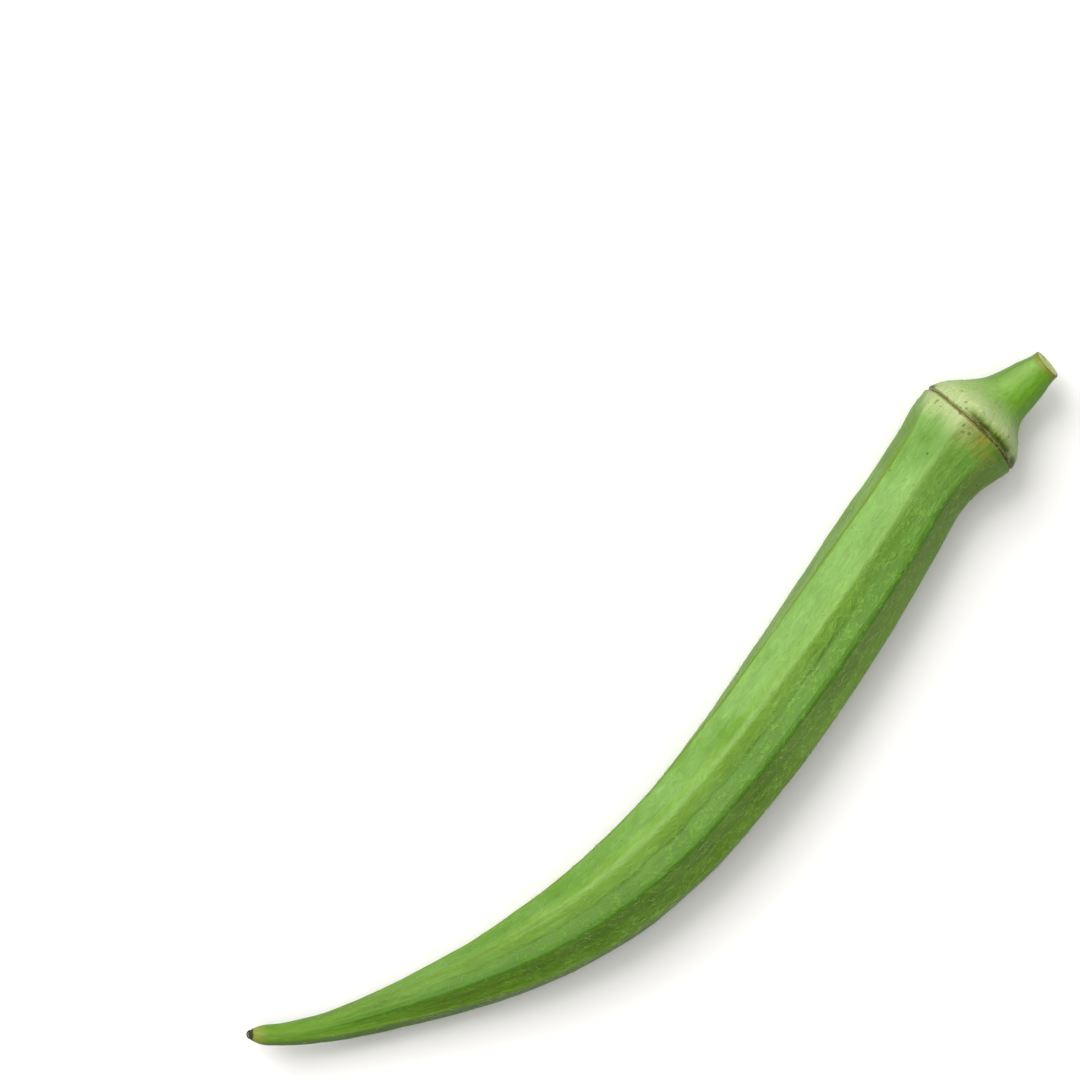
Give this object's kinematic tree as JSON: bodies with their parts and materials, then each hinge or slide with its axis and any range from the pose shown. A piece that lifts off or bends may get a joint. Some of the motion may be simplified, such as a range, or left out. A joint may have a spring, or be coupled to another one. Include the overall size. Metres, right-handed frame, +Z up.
{
  "type": "okra pod",
  "caption": "Slender curved okra pod with raised lengthwise ridges, a ring scar below its cap, a pointed tip and a cut stem, lying on its side.",
  "frame": {"origin": "the middle of the bounding box's base, on the surface that the pod lies on", "axes": "+X from the tip to the cut stem, +Y towards the hollow side of the pod's bow, +Z up from the surface"},
  "size_m": [0.1508, 0.0336, 0.0164],
  "materials": {
    "pod_skin": "fresh green plant skin, satin, pale along the ridges, with fine lengthwise wrinkles and light fuzz",
    "ring_scar": "thin brown corky scar, matt",
    "cut_face": "pale dried plant fibre with a browned rim, matt",
    "fine_hair": "short fine pale plant hairs"
  },
  "bodies": {
    "root": {"okra_pod": "pod_skin"}
  },
  "joints": []
}
